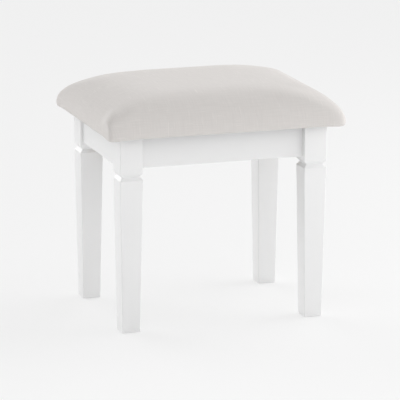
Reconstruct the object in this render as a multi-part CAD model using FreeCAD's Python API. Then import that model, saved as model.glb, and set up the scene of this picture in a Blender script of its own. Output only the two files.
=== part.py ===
import FreeCAD, Part
import math
import os

# Vanity stool: a painted frame of four tapered legs and four tenoned rails, braced by corner
# blocks, with a crowned, upholstered seat screwed on from below.
# Millimetres, +Z up, +X to the right and +Y to the back.
# The origin is on the floor, under the middle of the stool.

# Frame, measured over the square blocks at the tops of the legs
frame_width = 420.0
frame_depth = 312.0
frame_top = 388.0

# Legs: a square block, a V-groove collar all round, and a taper on all four faces
leg_side = 46.0
leg_foot_side = 36.0
leg_arris = 1.6
collar_drop = 14.5          # from the rails' lower edge down to the bottom of the V
collar_opening = 13.2       # height of the V at the leg's surface
collar_depth = 5.5

# Rails, set back from the legs' outer faces
rail_height = 64.5
rail_thickness = 20.0
rail_arris = 2.0
front_setback = 14.0
side_setback = 5.0

# Tenons on the rails' ends, in mortises in the legs
tenon_thickness = 8.0
tenon_length = 18.0
tenon_shoulder = 8.0        # above and below the tenon
mortise_clearance = 0.1
mortise_end_gap = 0.5

# Corner blocks, across the inside corners of the frame
block_height = 40.0
block_thickness = 24.0
block_drop = 0.5            # the blocks stop this far under the rails' upper edges
block_leg_gap = 1.0
block_end_blunt = 4.0       # cut off the sharp tips of the mitred ends
block_arris = 2.0

# Countersunk wood screws
screw_diameter = 4.5
screw_head_diameter = 9.0
screw_tip_diameter = 1.0
screw_taper = 8.0           # length of the tapered end
screw_sides = 12            # flats that stand for the round
screw_clearance = 0.1
block_screw_length = 32.0
block_screw_end_distance = 14.0   # from the block's outer face, along the rail, to the screw
seat_screw_length = 50.0

# Nail-on glides under the feet
glide_diameter = 24.0
glide_thickness = 2.0
glide_arris = 0.7
glide_nail_diameter = 2.5
glide_nail_length = 14.0
glide_clearance = 0.1

# Seat: the outer form of the upholstery
seat_overhang_side = 31.0
seat_overhang_front = 32.5
seat_height = 76.5          # crown above the underside
seat_corner_radius = 24.0
seat_edge_roll = 9.0        # height over which the lower edge turns under
seat_edge_tuck = 6.0        # how far the lower edge is drawn in
crown_power = 2.0           # roundness of the crown towards the top
shoulder_power = 4.7        # roundness of the shoulder towards the side
corner_softening = 2.5      # how soon the plan corners open out towards the crown
crown_flat = 0.4            # height left off the crown, as a small flat in the middle
roll_steps = 3
crown_steps = 12
hidden_corner_steps = 6     # flats that stand for each round corner of a hidden layer

# Seat: the layers
cover_thickness = 1.2
cover_turn_under = 26.0
wadding_thickness = 5.0
soft_clearance = 0.3
board_thickness = 12.0
board_inset = 8.0           # from the seat's widest outline to the board's edge
board_arris = 2.0
dust_cover_thickness = 0.6
dust_cover_margin = 12.0    # from the edge of the underside to the dust cover's edge
cut_beyond = 1.0            # how far a cut reaches past the faces that it opens

# Derived sizes and places
half_width = frame_width / 2
half_depth = frame_depth / 2
rail_bottom = frame_top - rail_height
collar_middle = rail_bottom - collar_drop
leg_inner_x = -half_width + leg_side
leg_inner_y = -half_depth + leg_side
leg_centre_x = -half_width + leg_side / 2
leg_centre_y = -half_depth + leg_side / 2
side_rail_outer = -half_width + side_setback
side_rail_inner = side_rail_outer + rail_thickness
front_rail_outer = -half_depth + front_setback
front_rail_inner = front_rail_outer + rail_thickness

seat_base = frame_top + dust_cover_thickness
seat_widest = seat_base + seat_edge_roll
seat_half_width = half_width + seat_overhang_side
seat_half_depth = half_depth + seat_overhang_front
board_bottom = seat_base + cover_thickness
board_top = board_bottom + board_thickness

block_top = frame_top - block_drop
block_bottom = block_top - block_height
block_middle = block_top - block_height / 2

# The plan of the front left corner block: x + y on its outer and on its inner long face
block_outer_sum = leg_inner_x + leg_inner_y + block_leg_gap * math.sqrt(2)
block_inner_sum = block_outer_sum + block_thickness * math.sqrt(2)

X_AXIS = FreeCAD.Vector(1, 0, 0)
Y_AXIS = FreeCAD.Vector(0, 1, 0)
Z_AXIS = FreeCAD.Vector(0, 0, 1)
ORIGIN = FreeCAD.Vector(0, 0, 0)
INTO_CORNER = FreeCAD.Vector(-1, -1, 0).normalize()

# The corners, as the side that each is on: -1 is left or front, 1 is right or back
CORNERS = {
    "front_left": (-1, -1),
    "front_right": (1, -1),
    "back_left": (-1, 1),
    "back_right": (1, 1),
}


def vector(x, y, z):
    return FreeCAD.Vector(x, y, z)


def mirrored(shape, side_x, side_y):
    """A copy, for another corner, of a shape that is made for the front left corner."""
    result = shape.copy()
    if side_x > 0:
        result = result.mirror(ORIGIN, X_AXIS)
    if side_y > 0:
        result = result.mirror(ORIGIN, Y_AXIS)
    return result


def at_every_corner(shape):
    """Copies of a front left shape at all four corners."""
    return [mirrored(shape, side_x, side_y) for side_x, side_y in CORNERS.values()]


def box(low, high):
    size = high - low
    return Part.makeBox(size.x, size.y, size.z, low)


def flat_face(points):
    return Part.Face(Part.makePolygon(points + [points[0]]))


def closed_solid(faces):
    """The solid that a closed set of faces encloses, with its faces pointing outwards."""
    shell = Part.makeShell(faces)
    shell.sewShape()
    solid = Part.makeSolid(shell)
    if solid.Volume < 0:
        solid.reverse()
    return solid


def corner_arcs(centre_x, centre_y, half_x, half_y, radius, z, flats):
    """The four round corners of a level rectangle, each as the ends of its flats or half arcs."""
    corners = []
    for index, (side_x, side_y) in enumerate(((1, 1), (-1, 1), (-1, -1), (1, -1))):
        middle_x = centre_x + side_x * (half_x - radius)
        middle_y = centre_y + side_y * (half_y - radius)
        points = []
        for step in range(flats + 1):
            angle = math.radians(90 * (index + step / flats))
            points.append(vector(middle_x + radius * math.cos(angle), middle_y + radius * math.sin(angle), z))
        corners.append(points)
    return corners


def round_level(centre_x, centre_y, half_x, half_y, radius, z):
    """A level outline whose corners are true arcs: the start, middle and end of each."""
    return corner_arcs(centre_x, centre_y, half_x, half_y, radius, z, 2)


def flat_level(centre_x, centre_y, half_x, half_y, radius, z):
    """A level outline whose corners are short flats."""
    return corner_arcs(centre_x, centre_y, half_x, half_y, radius, z, hidden_corner_steps)


def round_skin(levels):
    """A solid through level outlines: flat between their sides, ruled between their corner arcs."""
    arcs = [[Part.Arc(*corner).toShape() for corner in level] for level in levels]
    faces = []
    for lower, upper, lower_arcs, upper_arcs in zip(levels, levels[1:], arcs, arcs[1:]):
        for index in range(4):
            following = (index + 1) % 4
            faces.append(Part.makeRuledSurface(lower_arcs[index], upper_arcs[index]))
            faces.append(flat_face([
                lower[index][-1],
                lower[following][0],
                upper[following][0],
                upper[index][-1],
            ]))
    for level, level_arcs in ((levels[0], arcs[0]), (levels[-1], arcs[-1])):
        edges = []
        for index in range(4):
            edges.append(level_arcs[index])
            edges.append(Part.LineSegment(level[index][-1], level[(index + 1) % 4][0]).toShape())
        faces.append(Part.Face(Part.Wire(edges)))
    return closed_solid(faces)


def flat_skin(rings):
    """A solid of flat faces through rings that all have the same number of points."""
    faces = [flat_face(rings[0]), flat_face(rings[-1])]
    count = len(rings[0])
    for lower, upper in zip(rings, rings[1:]):
        for index in range(count):
            following = (index + 1) % count
            faces.append(flat_face([lower[index], lower[following], upper[following], upper[index]]))
    return closed_solid(faces)


def slab(half_x, half_y, radius, bottom, top):
    """A flat sheet or board with round corners, centred on the stool."""
    return round_skin([
        round_level(0, 0, half_x, half_y, radius, bottom),
        round_level(0, 0, half_x, half_y, radius, top),
    ])


def screw(head_point, direction, length, grow=0.0):
    """A countersunk wood screw, flush at the given point, or the larger hole for it."""
    radius = screw_diameter / 2 + grow
    head_radius = screw_head_diameter / 2 + grow
    head_depth = (screw_head_diameter - screw_diameter) / 2
    profile = (
        (head_radius, 0),
        (radius, head_depth),
        (radius, length - screw_taper),
        (screw_tip_diameter / 2 + grow, length + grow),
    )
    turn = FreeCAD.Rotation(Z_AXIS, direction)
    rings = []
    for ring_radius, distance in profile:
        ring = []
        for index in range(screw_sides):
            angle = 2 * math.pi * index / screw_sides
            point = vector(ring_radius * math.cos(angle), ring_radius * math.sin(angle), distance)
            ring.append(head_point + turn.multVec(point))
        rings.append(ring)
    return flat_skin(rings)


def on_block(plan_sum, plan_difference, z):
    """A point of the front left corner, from x + y and x - y."""
    return vector((plan_sum + plan_difference) / 2, (plan_sum - plan_difference) / 2, z)


def where_block_screws_enter():
    """Where the front left block's two screws cross into the left rail and into the front rail."""
    left_y = block_outer_sum - side_rail_inner + block_screw_end_distance
    front_x = block_outer_sum - front_rail_inner + block_screw_end_distance
    return vector(side_rail_inner, left_y, block_middle), vector(front_x, front_rail_inner, block_middle)


def block_screw(entry, grow=0.0):
    """A screw that runs at a right angle through the block into a rail."""
    head = on_block(block_inner_sum, entry.x - entry.y, block_middle)
    return screw(head, INTO_CORNER, block_screw_length, grow)


def seat_screw(grow=0.0):
    """The screw that goes up through the middle of the front left block into the seat board."""
    left, front = where_block_screws_enter()
    middle_sum = (block_outer_sum + block_inner_sum) / 2
    middle_difference = (left.x - left.y + front.x - front.y) / 2
    return screw(on_block(middle_sum, middle_difference, block_bottom), Z_AXIS, seat_screw_length, grow)


def front_tenon(side_clearance=0.0, end_clearance=0.0):
    """The front rail's left tenon, or the mortise for it."""
    middle = front_rail_outer + rail_thickness / 2
    half = tenon_thickness / 2 + side_clearance
    shoulder = tenon_shoulder - side_clearance
    low = vector(leg_inner_x - tenon_length - end_clearance, middle - half, rail_bottom + shoulder)
    high = vector(leg_inner_x, middle + half, frame_top - shoulder)
    return box(low, high)


def side_tenon(side_clearance=0.0, end_clearance=0.0):
    """The left rail's front tenon, or the mortise for it."""
    middle = side_rail_outer + rail_thickness / 2
    half = tenon_thickness / 2 + side_clearance
    shoulder = tenon_shoulder - side_clearance
    low = vector(middle - half, leg_inner_y - tenon_length - end_clearance, rail_bottom + shoulder)
    high = vector(middle + half, leg_inner_y, frame_top - shoulder)
    return box(low, high)


def leg():
    """The front left leg: tapered lower part, V-groove collar and square block, with its mortises."""
    heights_and_sides = (
        (glide_thickness, leg_foot_side),
        (collar_middle - collar_opening / 2, leg_side),
        (collar_middle, leg_side - 2 * collar_depth),
        (collar_middle + collar_opening / 2, leg_side),
        (frame_top, leg_side),
    )
    levels = []
    for z, side in heights_and_sides:
        levels.append(round_level(leg_centre_x, leg_centre_y, side / 2, side / 2, leg_arris, z))
    return round_skin(levels).cut([
        front_tenon(mortise_clearance, mortise_end_gap),
        side_tenon(mortise_clearance, mortise_end_gap),
        glide_nail(glide_clearance),
    ])


def rail(low, high, length_axis):
    """A plain rail whose two lower arrises are rounded."""
    body = box(low, high)
    lower = []
    for edge in body.Edges:
        along = edge.tangentAt(edge.FirstParameter)
        is_low = edge.BoundBox.ZMax < (low.z + high.z) / 2
        if is_low and abs(along.dot(length_axis)) > 0.5:
            lower.append(edge)
    return body.makeFillet(rail_arris, lower)


def front_rail():
    """The front rail with its tenons and the holes of its two block screws."""
    low = vector(leg_inner_x, front_rail_outer, rail_bottom)
    high = vector(-leg_inner_x, front_rail_inner, frame_top)
    tenon = front_tenon()
    hole = block_screw(where_block_screws_enter()[1], screw_clearance)
    body = rail(low, high, X_AXIS).fuse([tenon, mirrored(tenon, 1, -1)])
    return body.cut([hole, mirrored(hole, 1, -1)])


def left_rail():
    """The left rail with its tenons and the holes of its two block screws."""
    low = vector(side_rail_outer, leg_inner_y, rail_bottom)
    high = vector(side_rail_inner, -leg_inner_y, frame_top)
    tenon = side_tenon()
    hole = block_screw(where_block_screws_enter()[0], screw_clearance)
    body = rail(low, high, Y_AXIS).fuse([tenon, mirrored(tenon, -1, 1)])
    return body.cut([hole, mirrored(hole, -1, 1)])


def corner_block():
    """The front left corner block: mitred to both rails, with blunt tips and countersunk holes."""
    side_outer = vector(side_rail_inner, block_outer_sum - side_rail_inner, block_bottom)
    front_outer = vector(block_outer_sum - front_rail_inner, front_rail_inner, block_bottom)
    side_tip = vector(side_rail_inner, block_inner_sum - side_rail_inner - block_end_blunt, block_bottom)
    front_tip = vector(block_inner_sum - front_rail_inner - block_end_blunt, front_rail_inner, block_bottom)
    side_blunt = side_tip + X_AXIS * block_end_blunt
    front_blunt = front_tip + Y_AXIS * block_end_blunt
    plan = flat_face([side_outer, front_outer, front_tip, front_blunt, side_blunt, side_tip])
    body = plan.extrude(Z_AXIS * block_height)
    inner_arrises = []
    for edge in body.Edges:
        centre = edge.CenterOfMass
        is_level = abs(edge.tangentAt(edge.FirstParameter).z) < 0.5
        on_inner_face = abs(centre.x + centre.y - block_inner_sum) < 0.01
        if is_level and on_inner_face:
            inner_arrises.append(edge)
    holes = [block_screw(entry, screw_clearance) for entry in where_block_screws_enter()]
    holes.append(seat_screw(screw_clearance))
    return body.makeChamfer(block_arris, inner_arrises).cut(holes)


def glide_nail(grow=0.0):
    """The glide's nail, from the top of its disc up into the foot, or the hole for it."""
    start = vector(leg_centre_x, leg_centre_y, glide_thickness)
    return Part.makeCylinder(glide_nail_diameter / 2 + grow, glide_nail_length + grow, start, Z_AXIS)


def glide():
    """A thin round glide, eased at its lower edge, with its nail."""
    disc = Part.makeCylinder(glide_diameter / 2, glide_thickness, vector(leg_centre_x, leg_centre_y, 0))
    lower = [edge for edge in disc.Edges if edge.BoundBox.ZMax < glide_thickness / 2]
    return disc.makeChamfer(glide_arris, lower).fuse(glide_nail())


def seat_levels(inset, level):
    """Outlines of the upholstery's form, or of a form that lies inside it by the same amount.

    The lower edge is a quarter ellipse that draws in as it turns under. Above it the outline is
    a share s of the widest one at a share t of the crown's height, where
    s^shoulder_power + t^crown_power = 1, and its corners open out towards the crown.
    """
    widest_x = seat_half_width - inset
    widest_y = seat_half_depth - inset
    corner = seat_corner_radius - inset
    roll = seat_edge_roll - inset
    tuck = seat_edge_tuck - inset
    crown = seat_base + seat_height - inset - seat_widest
    levels = []
    for step in range(roll_steps):
        if tuck <= 0:
            break
        angle = math.radians(90 * step / roll_steps)
        drawn_in = tuck * (1 - math.sin(angle))
        z = seat_widest - roll * math.cos(angle)
        levels.append(level(0, 0, widest_x - drawn_in, widest_y - drawn_in, corner - drawn_in, z))
    last_angle = math.asin(1 - crown_flat / seat_height)
    for step in range(crown_steps + 1):
        rise = math.sin(last_angle * step / crown_steps)
        share = (1 - rise ** crown_power) ** (1 / shoulder_power)
        half_x = widest_x * share
        half_y = widest_y * share
        tight = corner * share
        radius = tight + (half_y - tight) * (1 - share ** corner_softening)
        levels.append(level(0, 0, half_x, half_y, radius, seat_widest + crown * rise))
    return levels


def hidden_form(inset):
    """The form of a hidden layer's outside."""
    rings = []
    for corners in seat_levels(inset, flat_level):
        rings.append([point for corner in corners for point in corner])
    return flat_skin(rings)


def above_board():
    """The space over the board, from its upper face up."""
    reach = seat_half_width + seat_half_depth
    return box(vector(-reach, -reach, board_top), vector(reach, reach, board_top + reach))


def seat_cover():
    """The fabric cover: a skin over the whole form, turned under the board and open in the middle."""
    opening_x = seat_half_width - seat_edge_tuck - cover_turn_under
    opening_y = seat_half_depth - seat_edge_tuck - cover_turn_under
    below = seat_base - cut_beyond
    above = board_bottom + cut_beyond
    opening = slab(opening_x, opening_y, seat_corner_radius, below, above)
    return round_skin(seat_levels(0, round_level)).cut([hidden_form(cover_thickness), opening])


def seat_wadding():
    """The soft layer under the cover, over the foam and down around the board's edge."""
    outside_inset = cover_thickness + soft_clearance
    foam_space = hidden_form(outside_inset + wadding_thickness).common(above_board())
    board_space = slab(
        seat_half_width - board_inset + soft_clearance,
        seat_half_depth - board_inset + soft_clearance,
        seat_corner_radius - board_inset + soft_clearance,
        seat_base,
        board_top + soft_clearance,
    )
    return hidden_form(outside_inset).cut([foam_space, board_space])


def seat_foam():
    """The crowned foam on the board, inside the wadding."""
    inset = cover_thickness + 2 * soft_clearance + wadding_thickness
    return hidden_form(inset).common(above_board())


def seat_board():
    """The board under the foam, with eased lower arrises and the seat screws' holes."""
    half_x = seat_half_width - board_inset
    half_y = seat_half_depth - board_inset
    radius = seat_corner_radius - board_inset
    levels = [
        round_level(0, 0, half_x - board_arris, half_y - board_arris, radius - board_arris, board_bottom),
        round_level(0, 0, half_x, half_y, radius, board_bottom + board_arris),
        round_level(0, 0, half_x, half_y, radius, board_top),
    ]
    return round_skin(levels).cut(at_every_corner(seat_screw(screw_clearance)))


def dust_cover():
    """The thin cloth under the seat, which hides the cover's turned-under edge."""
    half_x = seat_half_width - seat_edge_tuck - dust_cover_margin
    half_y = seat_half_depth - seat_edge_tuck - dust_cover_margin
    radius = seat_corner_radius - dust_cover_margin
    cloth = slab(half_x, half_y, radius, frame_top, seat_base)
    return cloth.cut(at_every_corner(seat_screw(screw_clearance)))


def write(node, shapes):
    """Write one sub-part, after a check that each of its solids is closed and sound."""
    group = shapes if isinstance(shapes, list) else [shapes]
    solids = [solid for shape in group for solid in shape.Solids]
    for solid in solids:
        if not solid.isValid() or solid.Volume <= 0:
            raise ValueError(node + " has a solid that is not sound")
    whole = solids[0] if len(solids) == 1 else Part.makeCompound(solids)
    whole.exportStep("parts/" + node + ".step")


def main():
    os.makedirs("parts", exist_ok=True)

    one_leg = leg()
    one_block = corner_block()
    for corner, (side_x, side_y) in CORNERS.items():
        write("leg_" + corner, mirrored(one_leg, side_x, side_y))
        write("corner_block_" + corner, mirrored(one_block, side_x, side_y))

    write("front_rail", front_rail())
    write("back_rail", mirrored(front_rail(), -1, 1))
    write("left_rail", left_rail())
    write("right_rail", mirrored(left_rail(), 1, -1))

    block_screws = []
    for entry in where_block_screws_enter():
        block_screws += at_every_corner(block_screw(entry))
    write("block_screws", block_screws)
    write("seat_screws", at_every_corner(seat_screw()))
    write("foot_glides", at_every_corner(glide()))

    write("seat_board", seat_board())
    write("seat_foam", seat_foam())
    write("seat_wadding", seat_wadding())
    write("seat_cover", seat_cover())
    write("dust_cover", dust_cover())


main()
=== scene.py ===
import math

import bpy
import numpy as np
from mathutils import Matrix, Vector


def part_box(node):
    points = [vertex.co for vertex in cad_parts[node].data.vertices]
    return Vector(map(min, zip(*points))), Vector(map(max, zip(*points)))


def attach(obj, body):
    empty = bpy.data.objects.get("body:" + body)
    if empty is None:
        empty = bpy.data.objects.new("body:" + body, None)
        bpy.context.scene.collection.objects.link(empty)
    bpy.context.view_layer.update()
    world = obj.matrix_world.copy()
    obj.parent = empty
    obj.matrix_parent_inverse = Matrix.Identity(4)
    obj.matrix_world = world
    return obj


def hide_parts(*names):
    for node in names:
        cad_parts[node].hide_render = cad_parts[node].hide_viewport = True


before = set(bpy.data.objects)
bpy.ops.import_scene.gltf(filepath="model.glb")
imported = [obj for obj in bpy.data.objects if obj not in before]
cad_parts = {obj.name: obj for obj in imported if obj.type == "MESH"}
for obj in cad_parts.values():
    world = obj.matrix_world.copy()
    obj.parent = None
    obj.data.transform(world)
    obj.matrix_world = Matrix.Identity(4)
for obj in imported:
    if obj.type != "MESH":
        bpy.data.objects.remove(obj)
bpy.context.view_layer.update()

bl_info = {
    "name": "Vanity stool",
    "version": (1, 0, 0),
    "blender": (4, 5, 0),
    "location": "3D View > Sidebar > Stool",
    "description": "Upholsters, finishes and lights a painted vanity stool",
    "category": "Object",
}

# Places and sizes that the construction gives, in metres
COVER_LOW, COVER_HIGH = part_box("seat_cover")
BOARD_LOW, BOARD_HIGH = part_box("seat_board")
_, CLOTH_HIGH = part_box("dust_cover")
_, RAIL_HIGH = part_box("front_rail")
_, SIDE_RAIL_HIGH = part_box("left_rail")
SEAT_BASE = COVER_LOW.z
SEAT_TOP = COVER_HIGH.z

MM = 0.001
CAMERA_SENSOR = 36.0        # millimetres
PHOTO_WIDTH = 400           # pixels

# Which way each piece of wood runs
WOOD_ALONG_Z = ("leg_front_left", "leg_front_right", "leg_back_left", "leg_back_right")
WOOD_ALONG_X = ("front_rail", "back_rail")
WOOD_ALONG_Y = ("left_rail", "right_rail")
BLOCKS_RISING = ("corner_block_front_right", "corner_block_back_left")
BLOCKS_FALLING = ("corner_block_front_left", "corner_block_back_right")


def linear(colour):
    """The linear RGB of an sRGB hex colour."""
    channels = [int(colour[start:start + 2], 16) / 255 for start in (0, 2, 4)]
    return tuple(c / 12.92 if c <= 0.04045 else ((c + 0.055) / 1.055) ** 2.4 for c in channels)


# Settings


class SeatSettings(bpy.types.PropertyGroup):
    """Form of the upholstered seat."""

    corner_radius: bpy.props.FloatProperty(
        name="Corner radius", description="Plan radius of the seat's corners at their widest",
        default=20 * MM, min=8 * MM, max=60 * MM, unit="LENGTH")
    softening: bpy.props.FloatProperty(
        name="Corner softening", description="How soon the plan corners open out towards the crown",
        default=2.6, min=1, max=8)
    near_corner_radius: bpy.props.FloatProperty(
        name="Front left radius", description="Plan radius of the front left corner, which is pulled tighter",
        default=11 * MM, min=8 * MM, max=60 * MM, unit="LENGTH")
    near_softening: bpy.props.FloatProperty(
        name="Front left softening", description="How soon the front left corner opens out",
        default=1.0, min=0.5, max=8)
    near_fullness: bpy.props.FloatProperty(
        name="Front left fullness", description="How far the foam fills out the cover at the front left corner",
        default=9 * MM, min=0, max=15 * MM, unit="LENGTH")
    crown_power: bpy.props.FloatProperty(
        name="Crown roundness", description="Power of the height in the seat's section",
        default=2.0, min=1.2, max=4)
    shoulder_power: bpy.props.FloatProperty(
        name="Shoulder roundness", description="Power of the width in the seat's section",
        default=5.3, min=2, max=8)
    edge_roll: bpy.props.FloatProperty(
        name="Edge roll", description="Height over which the lower edge turns under",
        default=9 * MM, min=3 * MM, max=20 * MM, unit="LENGTH")
    edge_tuck: bpy.props.FloatProperty(
        name="Edge tuck", description="How far the lower edge is drawn in",
        default=6 * MM, min=1 * MM, max=14 * MM, unit="LENGTH")
    turn_under: bpy.props.FloatProperty(
        name="Turn-under", description="Width of cover that is turned under the board",
        default=26 * MM, min=10 * MM, max=60 * MM, unit="LENGTH")
    slack: bpy.props.FloatProperty(
        name="Slack", description="How much lower the cover starts than the filled seat",
        default=2.6 * MM, min=0, max=10 * MM, unit="LENGTH")
    ease: bpy.props.FloatProperty(
        name="Ease", description="How much wider the cover starts than the filled seat",
        default=1.6 * MM, min=0, max=10 * MM, unit="LENGTH")
    pressure: bpy.props.FloatProperty(
        name="Filling", description="Pressure of the foam on the cover", default=4, min=0, max=20)
    most_swell: bpy.props.FloatProperty(
        name="Most swell", description="Farthest that the foam may push the cover",
        default=3 * MM, min=0, max=30 * MM, unit="LENGTH")
    pleat: bpy.props.FloatProperty(
        name="Pleat", description="Thickness of the folded pleat at each corner",
        default=1.4 * MM, min=0, max=4 * MM, unit="LENGTH")
    droop: bpy.props.FloatProperty(
        name="Corner droop", description="How far the corners hang below the seat's lower edge",
        default=2.0 * MM, min=0, max=5 * MM, unit="LENGTH")


class FabricSettings(bpy.types.PropertyGroup):
    """Look of the seat's fabric."""

    colour: bpy.props.FloatVectorProperty(
        name="Fabric", description="Colour of the weave", subtype="COLOR", size=3,
        default=linear("D7D3D0"), min=0, max=1)
    thread: bpy.props.FloatProperty(
        name="Thread spacing", description="Distance between neighbouring threads",
        default=1.3 * MM, min=0.3 * MM, max=4 * MM, unit="LENGTH")


class PaintSettings(bpy.types.PropertyGroup):
    """Look of the frame's lacquer."""

    colour: bpy.props.FloatVectorProperty(
        name="Lacquer", description="Colour of the sprayed lacquer", subtype="COLOR", size=3,
        default=linear("F0F0F0"), min=0, max=1)


class StageSettings(bpy.types.PropertyGroup):
    """Camera, floor and light."""

    azimuth: bpy.props.FloatProperty(
        name="Azimuth", description="Camera's turn to the left of straight ahead",
        default=math.radians(18.64), subtype="ANGLE")
    elevation: bpy.props.FloatProperty(
        name="Elevation", description="Camera's height above the horizon",
        default=math.radians(13.47), subtype="ANGLE")
    roll: bpy.props.FloatProperty(
        name="Roll", description="Camera's turn about its own axis",
        default=math.radians(0.129), subtype="ANGLE")
    distance: bpy.props.FloatProperty(
        name="Distance", description="Camera's distance from its target", default=5.893, unit="LENGTH")
    target: bpy.props.FloatVectorProperty(
        name="Target", description="Point that the camera looks at", size=3, subtype="XYZ",
        default=(0.02285, 0.05911, 0.20129), unit="LENGTH")
    focal_pixels: bpy.props.FloatProperty(
        name="Focal length", description="Camera's focal length in pixels of the picture", default=2944)
    backdrop: bpy.props.FloatVectorProperty(
        name="Backdrop", description="Colour that the camera sees around the stool",
        subtype="COLOR", size=3, default=linear("F6F6F6"), min=0, max=1)
    floor: bpy.props.FloatVectorProperty(
        name="Floor", description="Colour of the floor's matt paint, which lights the stool from below",
        subtype="COLOR", size=3, default=linear("F6F6F6"), min=0, max=1)
    ambient: bpy.props.FloatProperty(
        name="Ambient", description="Strength of the even light from all round", default=0.53, min=0)
    shadow_share: bpy.props.FloatProperty(
        name="Shadow", description="Share of the floor's shadow that the camera sees",
        default=0.3, min=0, max=1, subtype="FACTOR")


class StoolSettings(bpy.types.PropertyGroup):
    """Everything that can be set on the stool."""

    seat: bpy.props.PointerProperty(type=SeatSettings)
    fabric: bpy.props.PointerProperty(type=FabricSettings)
    paint: bpy.props.PointerProperty(type=PaintSettings)
    stage: bpy.props.PointerProperty(type=StageSettings)


# Meshes


def grid_faces(rows, columns):
    """Quads over a grid of points that are stored row after row."""
    corner = np.arange(rows - 1)[:, None] * columns + np.arange(columns - 1)
    return np.stack([corner, corner + columns, corner + columns + 1, corner + 1], -1).reshape(-1, 4)


def new_piece(name, points, faces):
    """A mesh object of its own, which rides on the stool."""
    mesh = bpy.data.meshes.new(name)
    mesh.from_pydata(points.reshape(-1, 3).tolist(), [], [list(face) for face in faces])
    mesh.shade_smooth()
    piece = bpy.data.objects.new(name, mesh)
    bpy.context.scene.collection.objects.link(piece)
    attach(piece, "root")
    return piece


def points_of(mesh):
    """The mesh's points as an array."""
    points = np.empty(len(mesh.vertices) * 3)
    mesh.vertices.foreach_get("co", points)
    return points.reshape(-1, 3)


def set_points(mesh, points):
    """Move the mesh's points to new places."""
    mesh.vertices.foreach_set("co", points.astype(np.float32).ravel())
    mesh.update()


def smooth_step(value, low, high):
    """0 below low, 1 above high, and 3t^2 - 2t^3 between them."""
    share = np.clip((value - low) / (high - low), 0, 1)
    return share * share * (3 - 2 * share)


# Materials

WAVE = 0.314    # a Wave Texture of this scale has one band to a metre


def add(tree, kind, inputs=None, **settings):
    """Add a node with its settings. An input is a value, or the output of another node that feeds it."""
    made = tree.nodes.new(kind)
    for name, value in settings.items():
        setattr(made, name, value)
    for name, value in (inputs or {}).items():
        if isinstance(value, bpy.types.NodeSocket):
            tree.links.new(value, made.inputs[name])
        else:
            made.inputs[name].default_value = value
    return made


def new_material(name, **values):
    """An empty surface with its even values set on the shader, and the shader's place for patterns."""
    material = bpy.data.materials.new(name)
    material.use_nodes = True
    tree = material.node_tree
    shader = tree.nodes["Principled BSDF"]
    for key, value in values.items():
        shader.inputs[key.replace("_", " ")].default_value = value
    return material, tree, shader


def put_on(material, *names):
    """Give the named pieces of the construction one material."""
    for name in names:
        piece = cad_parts.get(name) or bpy.data.objects[name]
        piece.data.materials.clear()
        piece.data.materials.append(material)


def scaled(colour, share):
    """A lighter or darker colour, each channel times the share."""
    return tuple(min(1, channel * share) for channel in colour)


def lacquered_wood(name, colour, stretch):
    """Hardwood, filled, sanded and sprayed with satin white lacquer.

    It gives an even, softly shining white, with a fine orange peel and a trace of grain along the wood.
    """
    grain_width = 2.2 * MM
    peel_size = 1.6 * MM
    cloud_size = 90 * MM
    material, tree, shader = new_material(name, Roughness=0.42, IOR=1.49)
    place = add(tree, "ShaderNodeTexCoord").outputs["Object"]
    along = add(tree, "ShaderNodeMapping", {"Vector": place, "Scale": stretch}).outputs[0]
    grain = add(tree, "ShaderNodeTexNoise", {"Vector": along, "Scale": 1 / grain_width, "Detail": 3.0})
    peel = add(tree, "ShaderNodeTexNoise", {"Vector": place, "Scale": 1 / peel_size, "Detail": 1.0})
    cloud = add(tree, "ShaderNodeTexNoise", {"Vector": place, "Scale": 1 / cloud_size, "Detail": 2.0})
    tint = add(tree, "ShaderNodeMix", {
        0: cloud.outputs[0], 6: (*scaled(colour, 0.985), 1), 7: (*scaled(colour, 1.01), 1)}, data_type="RGBA")
    grain_bump = add(tree, "ShaderNodeBump", {
        "Strength": 0.35, "Distance": 0.03 * MM, "Height": grain.outputs[0]})
    peel_bump = add(tree, "ShaderNodeBump", {
        "Strength": 0.4, "Distance": 0.02 * MM, "Height": peel.outputs[0], "Normal": grain_bump.outputs[0]})
    gloss = add(tree, "ShaderNodeMapRange", {"Value": cloud.outputs[0], 3: 0.38, 4: 0.46})
    tree.links.new(tint.outputs[2], shader.inputs["Base Color"])
    tree.links.new(gloss.outputs[0], shader.inputs["Roughness"])
    tree.links.new(peel_bump.outputs[0], shader.inputs["Normal"])
    return material


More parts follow.
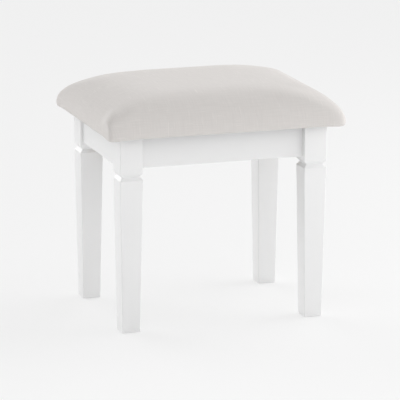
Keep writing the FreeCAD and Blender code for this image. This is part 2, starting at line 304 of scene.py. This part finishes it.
def planed_pine(name, turn):
    """Pine, sawn and planed and left bare: pale, with darker late wood in long, bowed bands."""
    ring_width = 5 * MM
    early, late = linear("E3C99C"), linear("C79A5E")
    material, tree, shader = new_material(name, Roughness=0.62, IOR=1.45)
    place = add(tree, "ShaderNodeTexCoord").outputs["Object"]
    along = add(tree, "ShaderNodeMapping", {
        "Vector": place, "Rotation": (0, 0, turn), "Scale": (0.07, 1, 1)}).outputs[0]
    warp = add(tree, "ShaderNodeTexNoise", {"Vector": along, "Scale": 1 / (30 * MM), "Detail": 2.0})
    bend = 12 * MM
    bent = add(tree, "ShaderNodeVectorMath", {0: warp.outputs["Color"], 1: (bend,) * 3}, operation="MULTIPLY")
    moved = add(tree, "ShaderNodeVectorMath", {0: along, 1: bent.outputs[0]}, operation="ADD")
    rings = add(tree, "ShaderNodeTexWave", {
        "Vector": moved.outputs[0], "Scale": WAVE / ring_width, "Distortion": 1.5, "Detail": 2.0},
        bands_direction="Y", wave_profile="SAW")
    fibre = add(tree, "ShaderNodeTexNoise", {"Vector": along, "Scale": 1 / (0.8 * MM), "Detail": 2.0})
    share = add(tree, "ShaderNodeMath", {0: rings.outputs[1], 1: fibre.outputs[0]}, operation="MULTIPLY")
    bump = add(tree, "ShaderNodeBump", {"Strength": 0.4, "Distance": 0.1 * MM, "Height": fibre.outputs[0]})
    tint = add(tree, "ShaderNodeMix", {0: share.outputs[0], 6: (*early, 1), 7: (*late, 1)}, data_type="RGBA")
    tree.links.new(tint.outputs[2], shader.inputs["Base Color"])
    tree.links.new(bump.outputs[0], shader.inputs["Normal"])
    return material


def birch_plywood():
    """Rotary-cut birch plywood, sanded: plain pale faces and banded edges, a ply to every 2 mm."""
    ply = 2 * MM
    face, band = linear("DCC49A"), linear("B8935F")
    material, tree, shader = new_material("sanded_birch_plywood", Roughness=0.6, IOR=1.45)
    place = add(tree, "ShaderNodeTexCoord").outputs["Object"]
    long = add(tree, "ShaderNodeMapping", {"Vector": place, "Scale": (0.05, 1, 1)}).outputs[0]
    figure = add(tree, "ShaderNodeTexNoise", {"Vector": long, "Scale": 1 / (6 * MM), "Detail": 3.0})
    plies = add(tree, "ShaderNodeTexWave", {"Vector": place, "Scale": WAVE / ply}, bands_direction="Z")
    share = add(tree, "ShaderNodeMath", {0: figure.outputs[0], 1: plies.outputs[1]}, operation="MULTIPLY")
    bump = add(tree, "ShaderNodeBump", {"Strength": 0.3, "Distance": 0.1 * MM, "Height": figure.outputs[0]})
    tint = add(tree, "ShaderNodeMix", {0: share.outputs[0], 6: (*face, 1), 7: (*band, 1)}, data_type="RGBA")
    tree.links.new(tint.outputs[2], shader.inputs["Base Color"])
    tree.links.new(bump.outputs[0], shader.inputs["Normal"])
    return material


def zinc_plate(name):
    """Cold-headed steel, bright zinc plated: a bluish grey metal with a soft, cloudy shine."""
    material, tree, shader = new_material(name, Metallic=1.0, Roughness=0.34)
    place = add(tree, "ShaderNodeTexCoord").outputs["Object"]
    cloud = add(tree, "ShaderNodeTexNoise", {"Vector": place, "Scale": 1 / (1.5 * MM), "Detail": 3.0})
    rough = add(tree, "ShaderNodeMapRange", {"Value": cloud.outputs[0], 3: 0.26, 4: 0.44})
    tint = add(tree, "ShaderNodeMix", {
        0: cloud.outputs[0], 6: (*linear("B4B6B8"), 1), 7: (*linear("D2D2CE"), 1)}, data_type="RGBA")
    tree.links.new(tint.outputs[2], shader.inputs["Base Color"])
    tree.links.new(rough.outputs[0], shader.inputs["Roughness"])
    return material


def moulded_nylon():
    """Injection-moulded grey nylon with a fine, matt grain from its mould."""
    material, tree, shader = new_material("moulded_grey_nylon", Roughness=0.55, IOR=1.53)
    place = add(tree, "ShaderNodeTexCoord").outputs["Object"]
    grain = add(tree, "ShaderNodeTexNoise", {"Vector": place, "Scale": 1 / (0.5 * MM), "Detail": 2.0})
    bump = add(tree, "ShaderNodeBump", {"Strength": 0.4, "Distance": 0.05 * MM, "Height": grain.outputs[0]})
    tint = add(tree, "ShaderNodeMix", {
        0: grain.outputs[0], 6: (*linear("86888A"), 1), 7: (*linear("949698"), 1)}, data_type="RGBA")
    tree.links.new(tint.outputs[2], shader.inputs["Base Color"])
    tree.links.new(bump.outputs[0], shader.inputs["Normal"])
    return material


def spunbond():
    """Black spun-bonded polypropylene, point-bonded by a roller: a matt, fibrous cloth with fine dimples."""
    dimple = 1.6 * MM
    material, tree, shader = new_material("spunbonded_black_cloth", Roughness=0.88, IOR=1.49)
    place = add(tree, "ShaderNodeTexCoord").outputs["Object"]
    turned = add(tree, "ShaderNodeMapping", {"Vector": place, "Rotation": (0, 0, math.pi / 4)}).outputs[0]
    dimples = add(tree, "ShaderNodeTexVoronoi", {
        "Vector": turned, "Scale": 1 / dimple, "Randomness": 0.15}, voronoi_dimensions="2D")
    fibres = add(tree, "ShaderNodeTexNoise", {"Vector": place, "Scale": 1 / (0.7 * MM), "Detail": 4.0})
    height = add(tree, "ShaderNodeMath", {0: dimples.outputs[0], 1: fibres.outputs[0]}, operation="ADD")
    bump = add(tree, "ShaderNodeBump", {"Strength": 0.6, "Distance": 0.2 * MM, "Height": height.outputs[0]})
    tint = add(tree, "ShaderNodeMix", {
        0: fibres.outputs[0], 6: (*linear("1A1A1B"), 1), 7: (*linear("303032"), 1)}, data_type="RGBA")
    tree.links.new(tint.outputs[2], shader.inputs["Base Color"])
    tree.links.new(bump.outputs[0], shader.inputs["Normal"])
    return material


def linen_look_weave(colour, spacing):
    """Polyester spun and woven to look like linen, in a plain weave with uneven, slubbed threads.

    It gives a dull, cool stone grey, with fine cross threads and here and there a thick pale one. The
    real threads lie about 0.6 mm apart, and are drawn about twice as coarse, so that they show.
    """
    material, tree, shader = new_material("linen_look_polyester", Roughness=0.92, IOR=1.45)
    shader.inputs["Sheen Weight"].default_value = 0.12
    shader.inputs["Sheen Roughness"].default_value = 0.5
    cloth = add(tree, "ShaderNodeUVMap", uv_map="cloth").outputs[0]
    normal = shade = slub = None
    for number in (0, 1):
        # One set of threads runs along the seat's depth, the other along its width
        band = "XY"[number]
        stretch = (1, 0.045, 1) if number == 0 else (0.045, 1, 1)
        lie = add(tree, "ShaderNodeMapping", {
            "Vector": cloth, "Location": (3.1 * number, 1.7 * number, 0), "Scale": stretch}).outputs[0]
        yarn = add(tree, "ShaderNodeTexNoise", {
            "Vector": lie, "Scale": 1 / (1.6 * spacing), "Detail": 2.0}, noise_dimensions="2D").outputs[0]
        threads = add(tree, "ShaderNodeTexWave", {
            "Vector": cloth, "Scale": WAVE / spacing, "Distortion": 0.6, "Detail": 1.0},
            bands_direction=band).outputs[1]
        height = add(tree, "ShaderNodeMath", {0: threads, 1: yarn}, operation="MULTIPLY").outputs[0]
        relief = {"Strength": 0.4, "Distance": 0.2 * MM, "Height": height}
        thick = add(tree, "ShaderNodeTexNoise", {
            "Vector": lie, "Scale": 0.9 / spacing, "Detail": 0.0, "W": 2.0 + number},
            noise_dimensions="4D").outputs[0]
        knots = add(tree, "ShaderNodeMapRange", {"Value": thick, 1: 0.74, 2: 0.8}).outputs[0]
        if number:
            relief["Normal"] = normal
            shade = add(tree, "ShaderNodeMath", {0: shade, 1: yarn}, operation="ADD").outputs[0]
            slub = add(tree, "ShaderNodeMath", {0: slub, 1: knots}, operation="MAXIMUM").outputs[0]
        else:
            shade, slub = yarn, knots
        normal = add(tree, "ShaderNodeBump", relief).outputs[0]
    spread = add(tree, "ShaderNodeMapRange", {"Value": shade, 1: 0.6, 2: 1.4}).outputs[0]
    plain = add(tree, "ShaderNodeMix", {
        0: spread, 6: (*scaled(colour, 0.965), 1), 7: (*scaled(colour, 1.03), 1)}, data_type="RGBA").outputs[2]
    tint = add(tree, "ShaderNodeMix", {
        0: slub, 6: plain, 7: (*scaled(colour, 1.1), 1)}, data_type="RGBA").outputs[2]
    tree.links.new(tint, shader.inputs["Base Color"])
    tree.links.new(normal, shader.inputs["Normal"])
    return material


# Seat

FILLING_FRAMES = 20     # how long the foam presses on the cover
EVENING_PASSES = 12     # how often the cover's moves are evened out


def seat_section(seat, count=240):
    """The cover's section, from the crown's middle down and under the board to the cover's cut edge.

    Down to the widest outline, the outline is a share s of it at a share t of the crown's height, where
    s^shoulder_power + t^crown_power = 1. Then a quarter ellipse draws it in to the underside, and the
    last stretch is level. Each row holds the share of the section's length, s, the drawing-in and the height.
    """
    widest = SEAT_BASE + seat.edge_roll
    turn = np.linspace(math.pi / 2, 0, count)
    rise = np.sin(turn)
    share = (1 - rise ** seat.crown_power) ** (1 / seat.shoulder_power)
    crown = np.stack([share, 0 * turn, widest + (SEAT_TOP - seat.slack - widest) * rise], 1)
    drawn = seat.edge_tuck * (1 - np.sin(turn))
    roll = np.stack([1 + 0 * turn, drawn, widest - seat.edge_roll * np.cos(turn)], 1)
    under = np.array([[1, seat.edge_tuck + seat.turn_under, SEAT_BASE]])
    return measured(np.concatenate([crown, roll, under]))


def board_section(seat):
    """The inside of the upholstery: level over the board, down its edge and under it to the cut edge."""
    gap = 0.3 * MM
    inset = COVER_HIGH.x - BOARD_HIGH.x - gap
    over, under = BOARD_HIGH.z + gap, BOARD_LOW.z - gap
    edge = seat.edge_tuck + seat.turn_under
    return measured(np.array([[0, 0, over], [1, inset, over], [1, inset, under], [1, edge, under]]))


def measured(section):
    """The section with the share of its length in front of each row."""
    reach = COVER_HIGH.y * section[:, 0] - section[:, 1]
    steps = np.hypot(np.diff(reach), np.diff(section[:, 2]))
    length = np.concatenate([[0], np.cumsum(steps)])
    return np.column_stack([length / length[-1], section]), length[-1]


def laid_cloth(across, along, section, seat, ease):
    """A rectangular cloth laid over the seat, as points of two parameters that run from -1 to 1.

    The larger of |across| and |along| picks the outline through the section, from the crown's middle (0)
    to the cloth's edge (1). The smaller, as a share of the larger, walks along an eighth of that
    outline, a rounded rectangle, from the middle of a side to the middle of its corner arc.
    """
    level = np.maximum(np.abs(across), np.abs(along))
    walk = np.minimum(np.abs(across), np.abs(along)) / np.maximum(level, 1e-9)
    share, drawn, height = (np.interp(level, section[:, 0], section[:, column]) for column in (1, 2, 3))
    half_x = (COVER_HIGH.x + ease) * share - drawn
    half_y = (COVER_HIGH.y + ease) * share - drawn
    near = (across < 0) & (along < 0)
    tight = np.maximum(np.where(near, seat.near_corner_radius, seat.corner_radius) - drawn, 3 * MM) * share
    softening = np.where(near, seat.near_softening, seat.softening)
    radius = tight + (half_y - tight) * (1 - share ** softening)
    on_end = np.abs(across) > np.abs(along)
    walked = walk * (np.where(on_end, half_y, half_x) - radius + radius * math.pi / 4)
    straight = np.minimum(walked, np.where(on_end, half_y, half_x) - radius)
    angle = (walked - straight) / np.maximum(radius, 1e-9)
    sideways = straight + radius * np.sin(angle)
    outwards = np.where(on_end, half_x, half_y) - radius * (1 - np.cos(angle))
    x = np.sign(across) * np.where(on_end, outwards, sideways)
    y = np.sign(along) * np.where(on_end, sideways, outwards)
    return np.stack([x, y, height], -1)


def filled(piece, shape, held, pressure, most_swell):
    """Press the cover out from inside with a cloth simulation.

    A point keeps most_swell / (most_swell + move) of its move, so none goes farther than most_swell. The
    shape is that of the cover's grid, whose points come first in the mesh, and held points stay in place.
    """
    scene = bpy.context.scene
    start = points_of(piece.data)
    group = piece.vertex_groups.new(name="held")
    group.add(np.flatnonzero(held).tolist(), 1.0, "REPLACE")
    cloth = piece.modifiers.new("Filling", "CLOTH")
    cloth.settings.quality = 6
    cloth.settings.mass = 0.3
    cloth.settings.tension_stiffness = 12
    cloth.settings.compression_stiffness = 12
    cloth.settings.shear_stiffness = 4
    cloth.settings.bending_stiffness = 0.6
    cloth.settings.use_pressure = True
    cloth.settings.uniform_pressure_force = pressure
    cloth.settings.vertex_group_mass = group.name
    cloth.settings.effector_weights.gravity = 0
    for number in range(1, FILLING_FRAMES + 1):
        scene.frame_set(number)
    done = piece.evaluated_get(bpy.context.evaluated_depsgraph_get())
    move = points_of(done.data) - start
    piece.modifiers.remove(cloth)
    piece.vertex_groups.remove(group)
    scene.frame_set(1)
    far = np.linalg.norm(move, axis=1)
    kept = move * (most_swell / (most_swell + far))[:, None]
    # The foam carries the cover, so small creases are evened out: each move is mixed with its neighbours'
    skin = kept[:shape[0] * shape[1]].reshape(*shape, 3)
    for _ in range(EVENING_PASSES):
        padded = np.pad(skin, ((1, 1), (1, 1), (0, 0)), mode="edge")
        skin = (padded[:-2, 1:-1] + padded[2:, 1:-1] + padded[1:-1, :-2] + padded[1:-1, 2:] + skin * 2) / 6
    kept[:shape[0] * shape[1]] = skin.reshape(-1, 3)
    kept[held] = 0
    set_points(piece.data, start + kept)


def pulled_corners(points, seat):
    """The cover's points, with the marks of the upholsterer's hand at the four corners.

    A pleat is folded over each end face: its flap lifts the cloth by the pleat's thickness between the
    corner and a fold line, which starts just behind the corner at the lower edge and leans back as it
    rises. Where the cloth is gathered, each corner hangs below the lower edge. The front left corner is
    filled out sideways between the lower edge and the shoulder.
    """
    x, y, z = points[:, 0].copy(), points[:, 1].copy(), points[:, 2].copy()
    side = np.sign(x)
    behind = COVER_HIGH.y - np.abs(y)
    beyond = COVER_HIGH.x - np.abs(x)
    rise = z - SEAT_BASE
    on_end = smooth_step(beyond, 34 * MM, 22 * MM)
    fold_start, fold_lean, fold_top = 5 * MM, 0.28, 60 * MM
    half_edge = 1.5 * MM    # of the flap, over which it rises to its full thickness
    fold = fold_start + fold_lean * np.clip(rise, 0, fold_top)
    flap = smooth_step(behind, fold + half_edge, fold - half_edge) * smooth_step(rise, 62 * MM, 44 * MM)
    flap *= smooth_step(rise, -2 * MM, 4 * MM)
    near = (x < 0) & (y < 0)
    filling = np.where(near, seat.near_fullness, 0) * smooth_step(rise, 6 * MM, 38 * MM)
    filling *= smooth_step(rise, 70 * MM, 46 * MM) * smooth_step(behind, 75 * MM, 18 * MM)
    moved = x + side * on_end * (seat.pleat * flap + filling)
    moved = np.clip(moved, COVER_LOW.x, COVER_HIGH.x)
    corner = np.hypot(np.maximum(behind, 0), np.maximum(beyond, 0))
    hang = seat.droop * smooth_step(corner, 55 * MM, 12 * MM) * smooth_step(rise, 26 * MM, 4 * MM)
    return np.stack([moved, y, z - hang], 1)


class STOOL_OT_upholster_seat(bpy.types.Operator):
    """Pull the cover over the foam, fill it, fold its corners and weave it"""

    bl_idname = "stool.upholster_seat"
    bl_label = "Upholster seat"

    def execute(self, context):
        seat = context.scene.stool.seat
        fabric = context.scene.stool.fabric
        outside, length = seat_section(seat)
        inside, _ = board_section(seat)
        rows, columns = 108, 88     # cells of the cover, about 5 mm each
        across, along = np.meshgrid(
            np.linspace(-1, 1, rows + 1), np.linspace(-1, 1, columns + 1), indexing="ij")
        skin = laid_cloth(across, along, outside, seat, seat.ease)
        lining = laid_cloth(across, along, inside, seat, 0)
        top = grid_faces(rows + 1, columns + 1)
        count = (rows + 1) * (columns + 1)
        index = np.arange(count).reshape(rows + 1, columns + 1)
        edge = np.concatenate([index[:-1, 0], index[-1, :-1], index[:0:-1, -1], index[0, :0:-1]])
        onward = np.roll(edge, -1)
        rim = np.stack([onward, edge, edge + count, onward + count], 1)
        faces = np.concatenate([top, rim, top[:, ::-1] + count])
        piece = new_piece(
            "seat_cushion", np.concatenate([skin.reshape(-1, 3), lining.reshape(-1, 3)]), faces)
        self.number_threads(piece.data, across, along, skin, outside, length, len(top))
        # The underside is tacked to the board, and the lining lies on it
        held = points_of(piece.data)[:, 2] < SEAT_BASE + 1.5 * MM
        held[count:] = True
        filled(piece, skin.shape[:2], held, seat.pressure, seat.most_swell)
        pulled = points_of(piece.data)
        pulled[:count] = pulled_corners(pulled[:count], seat)
        set_points(piece.data, pulled)
        finer = piece.modifiers.new("Finer", "SUBSURF")
        finer.levels = 1
        finer.render_levels = 1
        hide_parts("seat_cover", "seat_wadding", "seat_foam")
        piece.data.materials.append(linen_look_weave(fabric.colour, fabric.thread))
        return {"FINISHED"}

    def number_threads(self, mesh, across, along, skin, section, length, top_count):
        """Give each face its place on the flat cloth, in metres from the middle.

        Seen from above, the threads run straight. On a side or an end, the place across it is moved out
        by what the section's length has more than its level distance, so the threads keep their spacing.
        """
        level = np.maximum(np.abs(across), np.abs(along)).ravel()
        extra = level * length - np.interp(level, section[:, 0], COVER_HIGH.y * section[:, 1] - section[:, 2])
        points = skin.reshape(-1, 3)
        on_side = np.stack([points[:, 0], points[:, 1] + np.sign(along).ravel() * extra], 1)
        on_end = np.stack([points[:, 0] + np.sign(across).ravel() * extra, points[:, 1]], 1)
        layer = mesh.uv_layers.new(name="cloth")
        corner_points = np.empty(len(mesh.loops), int)
        mesh.loops.foreach_get("vertex_index", corner_points)
        place = np.zeros((len(mesh.loops), 2))
        top_corners = corner_points[:top_count * 4]
        faces = top_corners.reshape(-1, 4)
        middle_across = np.abs(across.ravel()[faces].mean(1))
        middle_along = np.abs(along.ravel()[faces].mean(1))
        is_end = np.repeat(middle_across > middle_along, 4)[:, None]
        place[:top_count * 4] = np.where(is_end, on_end[top_corners], on_side[top_corners])
        layer.data.foreach_set("uv", place.astype(np.float32).ravel())


# Frame and hardware


class STOOL_OT_lacquer_frame(bpy.types.Operator):
    """Spray the legs and rails with satin white lacquer"""

    bl_idname = "stool.lacquer_frame"
    bl_label = "Lacquer frame"

    def execute(self, context):
        colour = context.scene.stool.paint.colour
        put_on(lacquered_wood("white_lacquer_on_legs", colour, (1, 1, 0.04)), *WOOD_ALONG_Z)
        put_on(lacquered_wood("white_lacquer_on_long_rails", colour, (0.04, 1, 1)), *WOOD_ALONG_X)
        put_on(lacquered_wood("white_lacquer_on_short_rails", colour, (1, 0.04, 1)), *WOOD_ALONG_Y)
        return {"FINISHED"}


class STOOL_OT_finish_blocks(bpy.types.Operator):
    """Give the corner blocks bare planed pine, and the seat board birch plywood"""

    bl_idname = "stool.finish_blocks"
    bl_label = "Finish blocks and board"

    def execute(self, context):
        put_on(planed_pine("planed_pine_rising", -math.pi / 4), *BLOCKS_RISING)
        put_on(planed_pine("planed_pine_falling", math.pi / 4), *BLOCKS_FALLING)
        put_on(birch_plywood(), "seat_board")
        return {"FINISHED"}


class STOOL_OT_finish_hardware(bpy.types.Operator):
    """Plate the screws with zinc and mould the glides in nylon"""

    bl_idname = "stool.finish_hardware"
    bl_label = "Finish hardware"

    def execute(self, context):
        put_on(zinc_plate("bright_zinc_plate"), "block_screws", "seat_screws")
        put_on(moulded_nylon(), "foot_glides")
        return {"FINISHED"}


class STOOL_OT_stretch_dust_cloth(bpy.types.Operator):
    """Stretch the black dust cloth under the seat"""

    bl_idname = "stool.stretch_dust_cloth"
    bl_label = "Stretch dust cloth"

    def execute(self, context):
        thickness = 0.4 * MM
        sag = 1.2 * MM
        ripple = 0.25 * MM
        half_x, half_y = CLOTH_HIGH.x, CLOTH_HIGH.y
        inner_x, inner_y = SIDE_RAIL_HIGH.x, RAIL_HIGH.y
        rows, columns = 121, 93
        across, along = np.meshgrid(np.linspace(-1, 1, rows), np.linspace(-1, 1, columns), indexing="ij")
        x, y = half_x * across, half_y * along
        # The cloth hangs free only inside the rails. There it sags by the product of two parabolic arches,
        # and ripples faintly by the product of two sines.
        arch_x = np.clip(1 - (x / inner_x) ** 2, 0, 1)
        arch_y = np.clip(1 - (y / inner_y) ** 2, 0, 1)
        free = arch_x * arch_y
        waves = np.sin(x / (21 * MM) + 0.8 * np.sin(y / (55 * MM))) * np.sin(y / (34 * MM) + 0.5)
        z = CLOTH_HIGH.z - 0.1 * MM - free * (sag + ripple * waves)
        piece = new_piece(
            "seat_dust_cloth", np.stack([x, y, z], -1), grid_faces(rows, columns))
        wall = piece.modifiers.new("Thickness", "SOLIDIFY")
        wall.thickness = thickness
        wall.offset = -1
        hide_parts("dust_cover")
        piece.data.materials.append(spunbond())
        return {"FINISHED"}


# Stage

# Each lamp: its bearing to the left of straight ahead and its height, in degrees, then its strength.
# Far lamps shine evenly. A softbox, of a size and at a distance in metres, falls off across the stool.
FAR_LAMPS = {
    "back_left_window": (150, 12, 1.78),
    "right_window": (-110, 35, 0.75),
}
SOFTBOXES = {
    "right_softbox": (-85, 20, 28.0, 2.2, 2.6),
    "front_right_softbox": (-30, 12, 3.3, 1.2, 1.5),
    "front_left_softbox": (40, 25, 2.5, 1.2, 1.6),
}
FAR_LAMP_SPREAD = math.radians(60)
FAR_LAMP_DISTANCE = 3.0
LAMPS_AIM = Vector((0, 0, 0.25))
FLOOR_REACH = 30.0


def bearing_vector(bearing, height):
    """The unit vector towards a bearing to the left of straight ahead, at a height above the horizon."""
    a, e = math.radians(bearing), math.radians(height)
    return Vector((-math.sin(a) * math.cos(e), -math.cos(a) * math.cos(e), math.sin(e)))


def hang_lamp(light, towards, place):
    """Hang a lamp so that it shines back along the given direction."""
    lamp = bpy.data.objects.new(light.name, light)
    lamp.rotation_mode = "QUATERNION"
    lamp.rotation_quaternion = towards.to_track_quat("Z", "Y")
    lamp.location = place
    lamp.visible_camera = False
    bpy.context.scene.collection.objects.link(lamp)


def set_camera(stage):
    """The camera at the picture's angle, level but for a small roll."""
    a, e = stage.azimuth, stage.elevation
    back = Vector((-math.sin(a) * math.cos(e), -math.cos(a) * math.cos(e), math.sin(e)))
    right = Vector((0, 0, 1)).cross(back).normalized()
    up = back.cross(right)
    turn = Matrix.Rotation(stage.roll, 3, back)
    right, up = turn @ right, turn @ up
    data = bpy.data.cameras.new("camera")
    data.sensor_width = CAMERA_SENSOR
    data.lens = stage.focal_pixels / PHOTO_WIDTH * CAMERA_SENSOR
    camera = bpy.data.objects.new("camera", data)
    place = Matrix((right, up, back)).transposed().to_4x4()
    place.translation = Vector(stage.target) + back * stage.distance
    camera.matrix_world = place
    bpy.context.scene.collection.objects.link(camera)
    bpy.context.scene.camera = camera


def floor_material(stage):
    """A matt white painted studio floor.

    To the camera and in reflections it shows mostly its even backdrop colour, and a share of its shadows.
    Seen from below it lets the camera through.
    """
    material = bpy.data.materials.new("matt_white_studio_floor")
    material.use_nodes = True
    tree = material.node_tree
    tree.nodes.clear()
    path = add(tree, "ShaderNodeLightPath")
    seen = add(tree, "ShaderNodeMath", {0: path.outputs["Is Camera Ray"], 1: path.outputs["Is Glossy Ray"]},
               operation="MAXIMUM")
    share = stage.shadow_share
    even_share = add(tree, "ShaderNodeMath", {0: seen.outputs[0], 1: 1 - share}, operation="MULTIPLY")
    # Where no shadow falls, the lit floor's share and the rest add up to the backdrop's colour
    rest = [(whole - share * lit) / (1 - share) for whole, lit in zip(stage.backdrop, stage.floor)]
    matt = add(tree, "ShaderNodeBsdfDiffuse", {"Color": (*stage.floor, 1)})
    even = add(tree, "ShaderNodeEmission", {"Color": (*rest, 1), "Strength": 1.0})
    clear = add(tree, "ShaderNodeBsdfTransparent")
    below = add(tree, "ShaderNodeMath", {
        0: path.outputs["Is Camera Ray"], 1: add(tree, "ShaderNodeNewGeometry").outputs["Backfacing"]},
        operation="MULTIPLY")
    white = add(tree, "ShaderNodeMixShader", {
        0: even_share.outputs[0], 1: matt.outputs[0], 2: even.outputs[0]})
    shown = add(tree, "ShaderNodeMixShader", {
        0: below.outputs[0], 1: white.outputs[0], 2: clear.outputs[0]})
    add(tree, "ShaderNodeOutputMaterial", {"Surface": shown.outputs[0]})
    return material


class STOOL_OT_set_stage(bpy.types.Operator):
    """Set up the floor, the lamps, the sky and the camera"""

    bl_idname = "stool.set_stage"
    bl_label = "Set stage"

    def execute(self, context):
        stage = context.scene.stool.stage
        corners = FLOOR_REACH * np.array([[-1, -1, 0], [1, -1, 0], [1, 1, 0], [-1, 1, 0]])
        mesh = bpy.data.meshes.new("floor")
        mesh.from_pydata(corners.tolist(), [], [(0, 1, 2, 3)])
        mesh.materials.append(floor_material(stage))
        floor = bpy.data.objects.new("floor", mesh)
        context.scene.collection.objects.link(floor)
        for name, (bearing, height, strength) in FAR_LAMPS.items():
            light = bpy.data.lights.new(name, "SUN")
            light.energy = strength
            light.angle = FAR_LAMP_SPREAD
            towards = bearing_vector(bearing, height)
            hang_lamp(light, towards, LAMPS_AIM + FAR_LAMP_DISTANCE * towards)
        for name, (bearing, height, watts, size, distance) in SOFTBOXES.items():
            light = bpy.data.lights.new(name, "AREA")
            light.energy = watts
            light.size = size
            towards = bearing_vector(bearing, height)
            hang_lamp(light, towards, LAMPS_AIM + distance * towards)
        world = bpy.data.worlds.new("even_studio_light")
        world.use_nodes = True
        tree = world.node_tree
        path = add(tree, "ShaderNodeLightPath")
        seen = add(tree, "ShaderNodeMath", {0: path.outputs["Is Camera Ray"], 1: path.outputs["Is Glossy Ray"]},
                   operation="MAXIMUM")
        tint = add(tree, "ShaderNodeMix", {
            0: seen.outputs[0], 6: (*scaled((1, 1, 1), stage.ambient), 1), 7: (*stage.backdrop, 1)},
            data_type="RGBA")
        tree.links.new(tint.outputs[2], tree.nodes["Background"].inputs["Color"])
        context.scene.world = world
        set_camera(stage)
        context.scene.view_settings.view_transform = "Standard"
        return {"FINISHED"}


class STOOL_PT_panel(bpy.types.Panel):
    """Settings and steps of the stool, in the sidebar of the 3D view"""

    bl_label = "Vanity stool"
    bl_idname = "STOOL_PT_panel"
    bl_space_type = "VIEW_3D"
    bl_region_type = "UI"
    bl_category = "Stool"

    def draw(self, context):
        stool = context.scene.stool
        for group in (stool.seat, stool.fabric, stool.paint, stool.stage):
            box = self.layout.box()
            for name in group.__annotations__:
                box.prop(group, name)
        for step in STEPS:
            self.layout.operator(step.bl_idname)


STEPS = (
    STOOL_OT_lacquer_frame,
    STOOL_OT_finish_blocks,
    STOOL_OT_finish_hardware,
    STOOL_OT_upholster_seat,
    STOOL_OT_stretch_dust_cloth,
    STOOL_OT_set_stage,
)
CLASSES = (SeatSettings, FabricSettings, PaintSettings, StageSettings, StoolSettings, *STEPS, STOOL_PT_panel)


def register():
    for item in CLASSES:
        bpy.utils.register_class(item)
    bpy.types.Scene.stool = bpy.props.PointerProperty(type=StoolSettings)


def unregister():
    del bpy.types.Scene.stool
    for item in reversed(CLASSES):
        bpy.utils.unregister_class(item)


def main():
    """Carry out every step in order."""
    register()
    for step in STEPS:
        group, name = step.bl_idname.split(".")
        getattr(getattr(bpy.ops, group), name)()


if __name__ == "__main__":
    main()
